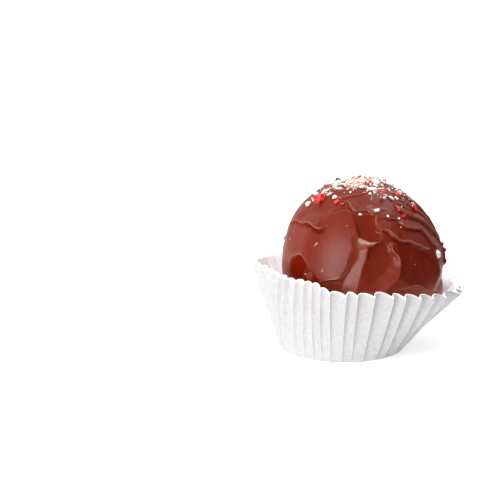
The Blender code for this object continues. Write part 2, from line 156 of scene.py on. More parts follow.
def direction(around, up):
    """Unit vectors: around is counted from the face, to the viewer's right, and up from the equator."""
    a = np.radians(around)
    u = np.radians(up)
    return np.stack([np.sin(a) * np.cos(u), -np.cos(a) * np.cos(u), np.sin(u)], axis=-1)


def mesh_of(bm, name):
    """The bmesh as a mesh of this name. The bmesh is freed."""
    mesh = bpy.data.meshes.new(name)
    bm.to_mesh(mesh)
    bm.free()
    return mesh


def make_floor():
    """A floor with a bright spot. Further out it lights nothing, but the camera still sees it white."""
    bm = bmesh.new()
    bmesh.ops.create_grid(bm, x_segments=1, y_segments=1, size=FLOOR_SIZE / 2)
    mesh = mesh_of(bm, "floor")
    white, shader = solid_finish("pale_floor", (0.9, 0.9, 0.9), 0.9)
    tree = white.node_tree
    place = add_node(tree, "TexCoord").outputs["Object"]
    away = add_node(tree, "VectorMath", {0: place, 1: FLOOR_SPOT}, operation="DISTANCE").outputs["Value"]
    colour, glow, shown = (fade(tree, away, *FLOOR_FADE, *values) for values in FLOOR_VALUES)
    camera_looks = add_node(tree, "LightPath").outputs["Is Camera Ray"]
    strength = mix_values(tree, camera_looks, glow, shown)
    feed(shader, {"Base Color": colour, "Emission Color": WHITE, "Emission Strength": strength})
    mesh.materials.append(white)
    floor = new_object("floor", mesh)
    return floor


def make_room():
    """A world that is bright on one side and dim on the other."""
    room = bpy.data.worlds.new("room")
    room.use_nodes = True
    tree = room.node_tree
    place = add_node(tree, "TexCoord").outputs["Generated"]
    side = tuple(direction(*BRIGHT_SIDE))
    facing = add_node(tree, "VectorMath", {0: place, 1: side}, operation="DOT_PRODUCT").outputs["Value"]
    glow = fade(tree, facing, *ROOM_FADE, *ROOM_GLOW)
    feed(tree.nodes["Background"], {"Color": WHITE, "Strength": glow})
    scene.world = room


floor = make_floor()
make_room()
scene.view_settings.view_transform = "Standard"
print("floor and room:", floor.name, scene.world.name)

# %% The lights
# name: around, up, distance, width and height in metres, watts
LIGHT_PANELS = {
    "key_panel": (-42, 18, 0.6, 0.24, 0.46, 1.8),
    "back_panel": (150, 55, 0.7, 0.3, 0.3, 0.5),
    "fill_panel": (35, 10, 0.7, 0.6, 0.5, 1),
    "left_back_panel": (-120, 15, 0.7, 0.5, 0.4, 0.7),
    "right_back_panel": (150, 12, 0.7, 0.5, 0.4, 1.2),
    "top_panel": (20, 72, 0.7, 0.5, 0.5, 0.9),
}
PAPER_PANELS = {
    "left_low_panel": (-22, 5, 0.6, 0.2, 0.3, 1.5),
    "inner_panel": (-10, 75, 0.6, 0.3, 0.3, 4.6),
}
CANDY_PANELS = {"candy_panel": (-10, 50, 0.6, 0.3, 0.3, 2)}
PANELS_WITHOUT_GLEAM = ["fill_panel", "left_back_panel", "right_back_panel", "top_panel"]


def make_panel(name, around, up, away, width, height, watts):
    light = bpy.data.lights.new(name, "AREA")
    light.shape = "RECTANGLE"
    light.size = width
    light.size_y = height
    light.energy = watts
    panel = new_object(name, light)
    out = Vector(direction(around, up))
    panel.location = out * away
    panel.rotation_euler = out.to_track_quat("Z", "Y").to_euler()
    panel.visible_glossy = name not in PANELS_WITHOUT_GLEAM
    return panel


def make_panels(table):
    return [make_panel(name, *values) for name, values in table.items()]


panels = make_panels(LIGHT_PANELS)
paper_panels = make_panels(PAPER_PANELS)
print("lights:", [panel.name for panel in panels + paper_panels])

# %% [markdown]
# ## Places on a ball
#
# The coating is sculpted as a height over a plain sphere, and each feature is named by where it is: how far
# around the ball, and how far up. Such a height field is easy to read and to change, and it can never fold
# over itself, which sculpting with brushes in a script might.

# %% Sizes of the ball and helpers for heights
BALL_RADIUS = 20.8 * MM
BALL_MIDDLE = Vector((5.1, 3.8, 21.4)) * MM
WAVES_PEAK = 1.5


def unit(vectors):
    return vectors / np.linalg.norm(vectors, axis=1)[:, None]


def ease(low, high, x):
    """0 below low, 1 above high, and a smooth rise between them."""
    t = np.clip((x - low) / (high - low), 0, 1)
    return t * t * (3 - 2 * t)


def smooth_min(a, b, blend):
    """The lower of two heights, with the corner between them rounded off."""
    share = np.clip(0.5 + 0.5 * (b - a) / blend, 0, 1)
    return b * (1 - share) + a * share - blend * share * (1 - share)


def waves(places, wave_length, seed, count=7):
    """A smooth random field from about -1 to 1 over the ball: a few plane waves added up."""
    draw = random.Random(seed)
    total = np.zeros(len(places))
    for _ in range(count):
        heading = Vector([draw.gauss(0, 1) for _ in range(3)]).normalized()
        turns = places @ np.array(heading) * BALL_RADIUS / MM / wave_length
        total += np.sin(2 * math.pi * (turns + draw.random()))
    return total / count**0.5 / WAVES_PEAK


print("ball across in mm:", round(2 * BALL_RADIUS / MM, 1))

# %% [markdown]
# ## Facets
#
# Where a gloved finger smooths soft chocolate, it leaves a flattish place with a soft ridge round it. Each
# facet is a shallow oval bowl, and the surface keeps the lower of the two heights, so that neighbouring
# facets meet in a ridge by themselves. A small blend rounds that ridge.

# %% Facets
# around, up, heading, half length, half width, depth, lean along, lean across
FACETS = [
    (-66, 12, 80, 10, 8, 0.45, 0, 0),
    (-62, 52, 10, 9, 6, 0.35, 0, 0.1),
    (5, 62, 0, 9, 5, 0.35, 0, 0),
    (74, 40, -30, 10, 7, 0.75, 0, 0),
]
FACET_BLEND = 0.15
NEAR_COSINE = 0.3
FAR_OFF = 99


def bowl(places, around, up, heading, half_length, half_width):
    """0 at the middle of a place, 1 on its oval rim, with the distances along and across it."""
    middle = direction(around, up)
    right = np.array([math.cos(math.radians(around)), math.sin(math.radians(around)), 0])
    above = np.cross(middle, right)
    turn = math.radians(heading)
    along = places @ (math.cos(turn) * right + math.sin(turn) * above) * BALL_RADIUS / MM / half_length
    across = places @ (math.cos(turn) * above - math.sin(turn) * right) * BALL_RADIUS / MM / half_width
    near = places @ middle > NEAR_COSINE
    return np.where(near, along**2 + across**2, FAR_OFF), along, across


def carve(relief, places, facet):
    """The relief with one more bowl cut into it."""
    *place, depth, lean_along, lean_across = facet
    rim, along, across = bowl(places, *place)
    cut = depth * (rim - 1) + lean_along * along + lean_across * across
    return smooth_min(relief, np.where(rim < FAR_OFF, cut, FAR_OFF), FACET_BLEND)


print("facets on the face:", len(FACETS))

# %% [markdown]
# ## Lines on the ball
#
# Lips and outlines are smooth curves through a few places. Each place carries a third number: the strength
# of a lip, or the softness of an outline. For every point of the ball the nearest piece of the curve is
# looked up, with the side on which the point lies.

# %% Lines on the ball
LINE_STEPS = 6
COARSE_WAVE = 4
FINE_WAVE = 1.7
FINE_SHARE = 0.4
FINE_SEED = 50


def smooth_line(points, closed=False):
    """A Catmull-Rom line through the points: directions, and the third number at each."""
    p = np.array([(*point, 1)[:3] for point in points], float)
    if closed:
        p = np.vstack([p[-1], p, p[:2]])
    else:
        p = np.vstack([2 * p[0] - p[1], p, 2 * p[-1] - p[-2]])
    line = []
    for before, start, end, after in zip(p, p[1:], p[2:], p[3:]):
        for t in np.arange(LINE_STEPS) / LINE_STEPS:
            line.append(
                start
                + 0.5 * t * (end - before)
                + t * t * (before - 2.5 * start + 2 * end - 0.5 * after)
                + t**3 * (1.5 * start - 1.5 * end + 0.5 * after - 0.5 * before)
            )
    line.append(p[-2])
    line = np.array(line)
    return direction(line[:, 0], line[:, 1]), np.maximum(line[:, 2], 0)


def wobbled(line, amount, seed):
    """The same line with its points moved a little sideways, by smooth random amounts in millimetres."""
    side = unit(np.cross(line, np.gradient(line, axis=0)))
    fine = FINE_SHARE * waves(line, FINE_WAVE, seed + FINE_SEED)
    shift = amount * (waves(line, COARSE_WAVE, seed) + fine) * MM / BALL_RADIUS
    return unit(line + side * shift[:, None])


def nearest_on_line(places, line, number):
    """For each place: how it lies from the line and how far to the left of it, in millimetres, and the
    number there."""
    nearest = np.full(len(places), FAR_OFF)
    left_of = np.zeros(len(places))
    value = np.zeros(len(places))
    offset = np.zeros((len(places), 3))
    for i in range(len(line) - 1):
        span = line[i + 1] - line[i]
        share = np.clip((places - line[i]) @ span / (span @ span), 0, 1)
        off = places - line[i] - share[:, None] * span
        away = np.linalg.norm(off, axis=1)
        left = np.cross(line[i], span)
        closer = away < nearest
        nearest = np.where(closer, away, nearest)
        left_of = np.where(closer, np.where(off @ left > 0, away, -away), left_of)
        value = np.where(closer, number[i] + share * (number[i + 1] - number[i]), value)
        offset = np.where(closer[:, None], off, offset)
    return offset * BALL_RADIUS / MM, left_of * BALL_RADIUS / MM, value


def middle_and_reach(line):
    """The line's middle, and the angle from there to its furthest point."""
    middle = line.mean(axis=0) / np.linalg.norm(line.mean(axis=0))
    return middle, math.acos((line @ middle).min())


print("steps between two places of a line:", LINE_STEPS)

# %% [markdown]
# ## Patches
#
# The big strokes on the face have outlines of their own: a spoon-like scoop, a strip, a smoothed cheek, a
# thumb print. A patch replaces the relief inside its outline with a surface that is turned to the right or
# up by some degrees, which decides where it gleams. Its tone is painted light: below 0 it is painted shade,
# deeper and duller, and above 0 a painted highlight, paler and glossier. Flatness says how it curves along
# its heading and across it: 0 follows the ball, 1 is flat, and 2 is as hollow as the ball is round.

# %% Patches
# name: height, turned right, turned up, heading, flatness along it and across it, tone (painted shade below
# 0, painted highlight above), and the outline clockwise: [(around, up, softness)]
PATCHES = {
    "lower_right": (-0.8, 4, 0, 90, 0.5, 0.9, -0.3, [
        (25, 0, 0.8), (28, 6, 0.8), (28, 12, 0.8), (26, 20, 0.8), (23, 26, 0.8), (31, 25, 0.6),
        (41, 22, 0.6), (51, 18, 0.6), (63, 13, 1), (68, 5, 1.5), (71, -5, 1.5), (60, -14, 1), (50, -9, 0.4),
        (35, -3, 0.4),
    ]),
    "strip": (-0.4, -14, 4, 70, 1.05, 0.6, 0.15, [
        (-15, -9, 0.4), (-14, 0, 0.25), (-11, 7, 0.5), (-9, 13, 1.5), (-6, 19, 2), (-4, 25, 2),
        (2, 25, 0.8), (5, 22, 0.5), (3, 15, 0.4), (0, 7, 0.4), (-2, -1, 0.4), (-5, -10, 0.5),
    ]),
    "scoop": (-0.85, 1, 4, 68, 0.5, 1.9, -0.1, [
        (-5, -10, 0.4), (-2, -1, 0.4), (0, 7, 0.4), (3, 15, 0.4), (5, 22, 0.4), (8, 25, 0.4), (13, 27, 0.5),
        (18, 27, 0.4), (22, 25, 0.4), (24, 20, 0.4), (26, 15, 0.4), (27, 10, 0.5), (26, 4, 0.6),
        (22, -1, 0.6), (15, -6, 0.6), (10, -11, 0.7),
    ]),
    "cheek": (-0.25, 0, 0, 100, 0.35, 0.4, 0, [
        (-34, -1, 0.3), (-38, 3, 0.8), (-42, 8, 1.5), (-47, 14, 2.5), (-50, 21, 3), (-49, 29, 3),
        (-45, 38, 2), (-38, 46, 1.5), (-28, 51, 1.2), (-18, 53, 0.8), (-12, 50, 0.5), (-10, 46, 0.4),
        (-6, 40, 0.35), (-4, 35, 0.35), (-3, 31, 0.5), (-6, 26, 1.5), (-7, 20, 1.5), (-8.5, 15, 0.9),
        (-10, 11, 0.4), (-12, 7, 0.2), (-14, 4, 0.2), (-16, 1, 0.2), (-22, 0, 0.2), (-28, -1, 0.2),
    ]),
    "thumb_print": (-0.75, 3, -3, 105, 0.9, 1.8, -0.4, [
        (-2, 31, 0.3), (-4, 35, 0.35), (-6, 40, 0.35), (-10, 46, 0.4), (-12, 50, 0.6), (-7, 50, 0.8),
        (-1, 49, 0.6), (7, 48, 0.5), (12, 47, 0.4), (13, 43, 0.4), (15, 37, 0.4), (15, 32, 0.4),
        (13, 27.5, 0.3), (10, 26, 0.2), (6, 27, 0.15), (2, 29, 0.15),
    ]),
    # the horn's tone of 0.6 paints a highlight on it
    "horn": (-0.05, -24, -7, 160, 0.8, 0.8, 0.6, [
        (-6, 30, 0.9), (-3, 31.5, 0.25), (2, 29.5, 0.15), (6, 27.7, 0.12), (12, 26.9, 0.12), (7, 25.2, 0.2),
        (3, 25, 0.7), (-1, 24, 1.4), (-5, 26, 1.2),
    ]),
    # the pit's tone of -1 paints shade into it
    "low_left_pit": (-1.4, 4, -8, 90, 0.8, 0.8, -1, [
        (-64, 2, 0.6), (-63, 6, 0.4), (-61, 9, 0.3), (-57, 11, 0.25), (-54, 12, 0.25), (-49, 12, 0.25),
        (-45, 9, 0.3), (-43, 6, 0.4), (-39, 3, 0.5), (-34, 0, 0.6), (-33, -4, 0.8), (-44, -9, 0.9),
        (-55, -9, 1), (-63, -5, 0.8),
    ]),
    "pit_drop": (-0.45, -14, 10, 90, 0.3, 0.3, 0.25, [
        (-42.5, -2, 0.3), (-42, 2, 0.3), (-39.5, 4, 0.3), (-37, 3, 0.3), (-36.5, -1, 0.3), (-39, -3.5, 0.4),
    ]),
}
OUTLINE_WOBBLE = 0.1
SHARPEST = 0.05


def paint_patch(relief, painted_light, places, patch, seed):
    """Replaces the relief and the tone inside the outline, in place."""
    height, turned_right, turned_up, heading, flat_along, flat_across, patch_painted_light, outline = patch
    line, softness = smooth_line(outline, closed=True)
    line = wobbled(line, OUTLINE_WOBBLE, seed)
    middle, reach = middle_and_reach(line)
    close = np.nonzero(places @ middle > math.cos(reach + 3 * max(softness) * MM / BALL_RADIUS))[0]
    near = places[close]
    _, left_of, soft = nearest_on_line(near, line, softness)
    right = np.array([-middle[1], middle[0], 0]) / math.hypot(middle[0], middle[1])
    x = near @ right * BALL_RADIUS / MM
    y = near @ np.cross(middle, right) * BALL_RADIUS / MM
    turn = math.radians(heading)
    along = x * math.cos(turn) + y * math.sin(turn)
    across = x * math.sin(turn) - y * math.cos(turn)
    level = height + (flat_along * along**2 + flat_across * across**2) / (2 * BALL_RADIUS / MM)
    level -= math.tan(math.radians(turned_right)) * x + math.tan(math.radians(turned_up)) * y
    inside = ease(-1, 1, -left_of / np.maximum(soft, SHARPEST))
    relief[close] += inside * (level - relief[close])
    # the patch's tone: painted shade below 0 and a painted highlight above 0
    painted_light[close] += inside * (patch_painted_light - painted_light[close])


print("patches:", list(PATCHES))

# %% [markdown]
# ## Seams
#
# Where one smear of chocolate ends on another, it leaves a lip, like a row of roof tiles: the surface
# climbs to the lip, drops into a fold behind it, and runs out level. The height depends on how far a point
# is from the seam's line and on which side, and the strength along the line lets a seam fade out. The tone
# is a painted highlight on the thin edge of the lip and painted shade in the fold behind it.

# %% Seams
# high side on the left of the line: rise, reach; low side: drop, sink; lip; [(around, up, strength)],
# where a strength of 1 isn't written
SEAMS = [
    (0.6, 4.5, 0.7, 2.4, 0.12, [
        (-98, 21, 0.3), (-88, 27, 0.8), (-84, 30), (-77, 33), (-63, 35), (-54, 36), (-48, 35, 1.1),
        (-44, 34, 1.3), (-40, 33.5, 1.3), (-37, 34), (-35, 36, 0.4), (-32, 38, 0),
    ]),
    (0.16, 3, 0.08, 2, 0.02, [
        (-56, 34, 0), (-46, 42, 0.8), (-37, 48), (-28, 53), (-20, 55.5, 0.6), (-12, 57, 0),
    ]),
    (0.3, 2.6, 0.25, 2, 0.1, [
        (-28, 61, 0), (-23, 60, 0.8), (-16, 56), (-12, 53), (-8, 51), (-3, 52, 0.8), (2, 52, 0.7),
        (7, 51, 0.8), (10, 48, 0.8), (15, 48, 0),
    ]),
    (0.2, 2.4, 0.15, 1.5, 0.1, [
        (-50, 59, 0), (-44, 61, 0.8), (-31, 65), (-21, 67), (-6, 69, 0.8), (7, 72, 0),
    ]),
    (0.12, 1.6, 0.1, 1.5, 0.06, [
        (14, 51, 0), (18, 52, 0.8), (26, 52), (29, 50), (29, 47, 0.6), (28, 45, 0),
    ]),
    (0.25, 2.4, 0.25, 1.5, 0.05, [
        (16, 45, 0), (21, 45, 0.7), (28, 44), (33, 43), (38, 43, 0.8), (46, 46, 0),
    ]),
    (0.15, 2, 0.2, 1.4, 0.06, [(44, 62, 0), (48, 56, 0.9), (52, 53), (58, 50, 0.7), (64, 47, 0)]),
    (0.8, 3.2, 0.3, 1, 0.14, [
        (44, 58, 0), (44, 54, 0.7), (45, 50, 0.9), (49, 47), (53, 44), (58, 41), (62, 39), (67, 37),
        (70, 35), (74, 31), (77, 27), (78, 23, 0.8), (81, 18, 0.4), (84, 12, 0),
    ]),
    (0.8, 3.2, 0.35, 1, 0.14, [
        (35, 44, 0), (36, 39, 0.8), (38, 37, 0.9), (42, 35), (47, 34), (53, 32), (56, 32), (59, 29),
        (61, 26), (63, 22), (66, 19), (69, 16, 0.8), (70, 10, 0),
    ]),
    (0.8, 3, 0.4, 1.3, 0.12, [
        (14, 35, 0), (18, 36, 0.5), (22, 34, 0.9), (25, 31), (27, 30), (30, 27, 0.9), (36, 26), (40, 25),
        (43, 23), (48, 21, 0.8), (54, 18, 0.6), (60, 16, 0),
    ]),
    # three seams with no rise or drop: each is a small bead with a line of painted highlight on it
    (0, 1, 0, 1, 0.3, [(22, 34, 0), (23.5, 32.7), (25.5, 31), (28, 29.3, 0)]),
    (0, 1, 0, 1, 0.15, [(13, 48.5, 0), (13, 46.5), (12, 43, 0.6), (12, 38, 0)]),
    (0, 1, 0, 1, 0.2, [(10.5, 36, 0), (12, 35.3), (13.5, 34.5), (15, 34, 0)]),
    (0.25, 2.4, 0.05, 1.2, 0.08, [
        (60, 58, 0), (70, 50, 0.8), (78, 42), (84, 33), (88, 22, 0.8), (90, 14, 0),
    ]),
    (0.25, 2.4, 0.05, 1.2, 0.08, [(75, 62, 0), (84, 52, 0.9), (90, 41), (94, 30, 0.8), (96, 20, 0)]),
    (1, 1.4, 0, 1, 0.1, [
        (27, 8, 0), (27, 12, 0.5), (26, 16, 0.9), (24, 20, 1.1), (23, 23, 1.1), (22, 25, 0.8), (21, 27, 0),
    ]),
    (2.1, 3.1, 0, 1, 0.02, [
        (3, -14, 0.3), (8, -10, 0.9), (13, -7), (19, -2), (24, 2, 0.9), (27, 8, 0.6), (27, 14, 0.3),
        (26, 18, 0),
    ]),
    # a seam with no rise or drop: a small bead with a line of painted highlight on it
    (0, 1, 0, 1, 0.08, [
        (-20, 0, 0.5), (-16, 1), (-12, 5), (-10, 10, 0.9), (-8, 15, 0.2), (-7, 19, 0),
    ]),
    (0.2, 1.6, 0.35, 1.8, 0.3, [
        (-38, -3, 0), (-33, -2.5, 0.4), (-27, -1), (-21, 0.5), (-17, 1), (-14, 3, 0),
    ]),
    (0.2, 1.6, 0, 1, 0.1, [
        (-66, 1, 0), (-64, 6, 0.7), (-61, 10), (-57, 12, 1.2), (-54, 13, 1.2), (-49, 13, 1.1),
        (-45, 11, 0.7), (-43, 8, 0),
    ]),
    (0.12, 1.6, 0.05, 1, 0.03, [(41, 22, 0), (39, 16), (35, 9), (29, 3, 0)]),
    (0.2, 2, 0.2, 1.5, 0.08, [
        (21, -7, 0.3), (27, -7, 0.9), (32, -7), (38, -6), (44, -7), (50, -10), (56, -13), (65, -16),
        (82, -19, 0.6),
    ]),
    (0.45, 3, 1.2, 2.2, 0.2, [
        (-82, 50, 0), (-78, 45.5), (-76.5, 42), (-76, 38.5), (-77, 36), (-79, 33, 0.8), (-80, 29, 0),
    ]),
]
SEAM_EDGE = 0.1
SEAM_WOBBLE = 0.14
WIDEST_ANGLE = 1.5
STEEPENING = 1.1
HOLLOWING = 1.6
DRAWN_WITHIN = 0.8
DRAWN_POWER = 0.6
LIP_PLACE = 0.12
LIP_WIDTH = 0.16
# lip and drop at which the painted highlight and the painted shade are full
LIP_FULLY_HIGHLIGHTED = 0.12
DROP_FULLY_SHADED = 0.45


def near_seam(places, seam, seed):
    """Which places the seam can change, and for each what nearest_on_line says, with the strength."""
    line, strength = smooth_line(seam[-1])
    line = wobbled(line, SEAM_WOBBLE, seed)
    middle, furthest = middle_and_reach(line)
    furthest += 2 * max(seam[1], seam[3]) * MM / BALL_RADIUS
    close = np.nonzero(places @ middle > math.cos(min(furthest, WIDEST_ANGLE)))[0]
    return close, *nearest_on_line(places[close], line, strength)


def add_seam(relief, painted_light, places, seam, seed):
    """Adds the lip to the relief and to the tone, which is above 0 where a highlight is painted on the
    lip's edge and below 0 where shade is painted in the fold under it.
    """
    rise, reach, drop, sink, lip, _ = seam
    close, _, left_of, force = near_seam(places, seam, seed)
    high = rise * np.minimum(np.clip(1 - left_of / reach, 0, 1) ** STEEPENING, 1)
    low = drop * np.minimum(np.clip(1 + left_of / sink, 0, 1) ** HOLLOWING, 1)
    side = ease(-SEAM_EDGE, SEAM_EDGE, left_of)
    edge = np.exp(-(((left_of - LIP_PLACE) / LIP_WIDTH) ** 2))
    relief[close] += force * (side * high - (1 - side) * low + lip * edge)
    # the tone: a painted highlight on the lip's edge and painted shade in the fold below it
    painted_light[close] += force * (edge * lip / LIP_FULLY_HIGHLIGHTED - (1 - side) * low**2 / DROP_FULLY_SHADED)


def draw_to_seam(places, seam, seed):
    """Moves the places near a lip closer to its line, in place."""
    close, offset, left_of, force = near_seam(places, seam, seed)
    kept = np.minimum(np.abs(left_of) / DRAWN_WITHIN, 1) ** DRAWN_POWER
    moved = (1 - kept) * np.minimum(force, 1)
    places[close] = unit(places[close] - offset * moved[:, None] * MM / BALL_RADIUS)


print("seams on the face:", len(SEAMS))

# %% [markdown]
# ## The sides and the back
#
# The camera sees one side, but the ball is smeared all round. The sides and the back get facets and
# seams of the same kinds, drawn at random in rows with a fixed seed, so that each run gives the same ball.

# %% Random smears for the sides and the back
SMEAR_ROWS = [(58, 5), (34, 7), (10, 9), (-12, 8)]
SMEAR_FROM = 98
SMEAR_TO = 268
SMEAR_SEED = 4
# low and high ends of what is drawn at random
SMEAR_SHIFT = (-0.25, 0.25)
SMEAR_LEVEL = (-7, 7)
SMEAR_SIZE = (5.5, 9.5)
SMEAR_SHAPE = (0.5, 0.75)
SMEAR_DEPTH = (0.35, 0.85)
SMEAR_LEAN = (-0.3, 0.3)
LEAN_ALONG = 0.1
SMEAR_HEADING = (20, 110)
SEAM_CHANCE = 0.6
SEAM_HALF = (12, 20)
SEAM_BEND = (-6, 9)
SEAM_STRAY = (-4, 4)
SEAM_STRENGTH = (0.7, 1.1)
SEAM_RISE = (0.25, 0.55)
SEAM_REACH = 3.5
SEAM_DROP = (0.2, 0.45)
SEAM_SINK = 2.2
SEAM_LIP = 0.1


def back_smears():
    """Facets in rows, and over some of them a seam of four points."""
    draw = random.Random(SMEAR_SEED)
    pick = draw.uniform
    facets = []
    seams = []
    for up, count in SMEAR_ROWS:
        step = (SMEAR_TO - SMEAR_FROM) / count
        for i in range(count):
            around = SMEAR_FROM + (i + 0.5 + pick(*SMEAR_SHIFT)) * step
            level = up + pick(*SMEAR_LEVEL)
            size = pick(*SMEAR_SIZE)
            width = size * pick(*SMEAR_SHAPE)
            depth = pick(*SMEAR_DEPTH)
            lean = pick(*SMEAR_LEAN)
            facets.append((around, level, pick(*SMEAR_HEADING), size, width, depth, LEAN_ALONG, lean))
            if draw.random() < SEAM_CHANCE:
                half = pick(*SEAM_HALF)
                bend = pick(*SEAM_BEND)
                line = [
                    (around - half, level + pick(*SMEAR_LEVEL), 0),
                    (around - 0.5 * half, level + bend, pick(*SEAM_STRENGTH)),
                    (around + 0.3 * half, level + 0.6 * bend + pick(*SEAM_STRAY), pick(*SEAM_STRENGTH)),
                    (around + half, level + pick(*SMEAR_LEVEL), 0),
                ]
                seams.append((pick(*SEAM_RISE), SEAM_REACH, pick(*SEAM_DROP), SEAM_SINK, SEAM_LIP, line))
    return facets, seams


back_facets, back_seams = back_smears()
print("facets and seams of the back:", len(back_facets), len(back_seams))

# %% [markdown]
# ## The coating
#
# The mesh is a cube cut into a fine grid and blown up to a ball, which has no poles where faces bunch up.
# Shifting it to the front and upwards as it is blown up puts more of the faces on the side that shows.
# Places close to a lip are then drawn to its line, so that the mesh is finest where the form turns sharply.

# %% The chocolate mesh
GRID_CELLS = 125
FACES_TOWARDS = (0.08, -0.28, 0.28)
UNDULATION = 0.1
WAVE_LENGTH = 15
CALM_BELOW = -34
CALM_ABOVE = -12
CALM_SHARE = 0.25
# around, up, heading, half length, half width, height
LUMPS = [
    (-112, 52, 90, 13, 10, 0.75), (-128, 68, 20, 1.8, 1, 1.6), (-40, -1, 60, 1.8, 1.3, 0.2),
    (93, 12, 90, 0.8, 0.9, 0.7), (-170, 80, 0, 8, 6, 0.75), (92, 4, 90, 3.4, 1.7, 0.75),
    (92, 8, 90, 0.9, 1, 1.1), (90, 0.5, 90, 1.3, 1.2, 1), (84, -21.5, 0, 5, 4, 1.35),
]


def add_lump(relief, places, lump):
    """The relief with one more mound on it."""
    *place, height = lump
    rim, _, _ = bowl(places, *place)
    return -smooth_min(-relief, -height * (1 - rim), FACET_BLEND)


def coating_height(places):
    """How far the coating stands out from the plain sphere at each unit direction, in metres, and its
    tone there, which is a painted highlight above 0 and painted shade below 0."""
    relief = UNDULATION * waves(places, WAVE_LENGTH, SMEAR_SEED)
    painted_light = np.zeros(len(places))
    for facet in back_facets + FACETS:
        relief = carve(relief, places, facet)
    for seed, patch in enumerate(PATCHES.values()):
        paint_patch(relief, painted_light, places, patch, seed)
    for seed, seam in enumerate(back_seams + SEAMS):
        add_seam(relief, painted_light, places, seam, seed)
    up = np.degrees(np.arcsin(np.clip(places[:, 2], -1, 1)))
    relief *= CALM_SHARE + (1 - CALM_SHARE) * ease(CALM_BELOW, CALM_ABOVE, up)
    for lump in LUMPS:
        relief = add_lump(relief, places, lump)
    return relief * MM, np.clip(painted_light, -1, 1)


def make_ball():
    """The coating as one mesh, with its painted highlight and shade kept as an attribute of the points."""
    bm = bmesh.new()
    bmesh.ops.create_cube(bm, size=2)
    bmesh.ops.subdivide_edges(bm, edges=bm.edges[:], cuts=GRID_CELLS - 1, use_grid_fill=True)
    mesh = mesh_of(bm, "dipped_chocolate")
    corners = np.empty(len(mesh.vertices) * 3)
    mesh.vertices.foreach_get("co", corners)
    evened = unit(np.tan(corners.reshape(-1, 3) * math.pi / 4))
    places = unit(evened + np.array(FACES_TOWARDS))
    for seed, seam in enumerate(back_seams + SEAMS):
        draw_to_seam(places, seam, seed)
    height, painted_light = coating_height(places)
    points = np.array(BALL_MIDDLE) + places * (BALL_RADIUS + height)[:, None]
    mesh.vertices.foreach_set("co", points.ravel())
    mesh.attributes.new("painted_light", "FLOAT", "POINT").data.foreach_set("value", painted_light)
    mesh.shade_smooth()
    mesh.update()
    return new_object("dipped_chocolate", mesh)


ball = make_ball()
print("faces in the coating:", len(ball.data.polygons))

# %% [markdown]
# ## Mottle, a shader group
#
# Chocolate, sugar and paper all vary a little from place to place. One node group makes that mask: it
# turns noise of a given grain size into a value from 0 to 1. It is built once, and each material gives it
# values of its own.

# %% The mottle group
MOTTLE_INPUTS = {"Grain mm": 2, "Detail": 3, "Low": 0.35, "High": 0.65}


def make_mottle_group():
    group = bpy.data.node_groups.new("mottle", "ShaderNodeTree")
    for name, value in MOTTLE_INPUTS.items():
        group.interface.new_socket(name, in_out="INPUT", socket_type="NodeSocketFloat").default_value = value
    group.interface.new_socket("Mask", in_out="OUTPUT", socket_type="NodeSocketFloat")
    given = group.nodes.new("NodeGroupInput").outputs
    result = group.nodes.new("NodeGroupOutput")
    place = add_node(group, "TexCoord").outputs["Object"]
    scale = add_node(group, "Math", {0: 1 / MM, 1: given["Grain mm"]}, operation="DIVIDE").outputs["Value"]
    noise = add_node(group, "TexNoise", {"Vector": place, "Scale": scale, "Detail": given["Detail"]})
    feed(result, {"Mask": fade(group, noise.outputs["Fac"], given["Low"], given["High"])})
    return group


mottle_group = make_mottle_group()


def add_mottle(tree, grain_mm, detail, low, high):
    """Places the group in a material. Noise below low gives 0, and above high gives 1."""
    values = {"Grain mm": grain_mm, "Detail": detail, "Low": low, "High": high}
    return add_node(tree, "Group", values, node_tree=mottle_group).outputs["Mask"]


def mix_colours(tree, mask, first, second):
    """Two colours mixed by a mask. The first may be an output of another node."""
    below = first if isinstance(first, bpy.types.NodeSocket) else (*first, 1)
    values = {"Factor": mask, "A": below, "B": (*second, 1)}
    return add_node(tree, "Mix", values, data_type="RGBA").outputs["Result"]


def bump(tree, height, distance_mm, strength):
    values = {"Height": height, "Distance": distance_mm * MM, "Strength": strength}
    return add_node(tree, "Bump", values).outputs["Normal"]


def share_of_range(tree, value, full):
    """How far a value has gone from 0 to full, from 0 to 1."""
    return add_node(tree, "MapRange", {"Value": value, "From Max": full}).outputs["Result"]


print("shader group:", mottle_group.name)

# %% [markdown]
# ## Chocolate
#
# Milk chocolate is a deep red-brown under a satin gloss. Its fat sets unevenly, so broad patches are a
# little paler and duller than the rest, and fine streaks from the smearing break up the gleam. The patches
# drive both colour and roughness, which is what makes them read as one effect. The tone that the relief
# wrote is painted light: thin lips get a painted highlight under a glossy coat, and folds and pits get
# painted shade and a duller reflection.

# %% The chocolate finish
CHOCOLATE_SHADES = ((0.25, 0.02, 0.0055), (0.28, 0.026, 0.0078))
FLECK_COLOUR = (0.3, 0.034, 0.012)
# painted shade for folds and pits, and a painted highlight for lips and the horn
PAINTED_SHADE_COLOUR = (0.22, 0.012, 0.002)
PAINTED_HIGHLIGHT_COLOUR = (0.42, 0.12, 0.07)
SATIN_ROUGHNESS = (0.27, 0.35)
SHINE = 0.3
# the reflection is turned down where shade is painted, which darkens the folds further
SHINE_IN_FOLDS = 0.02


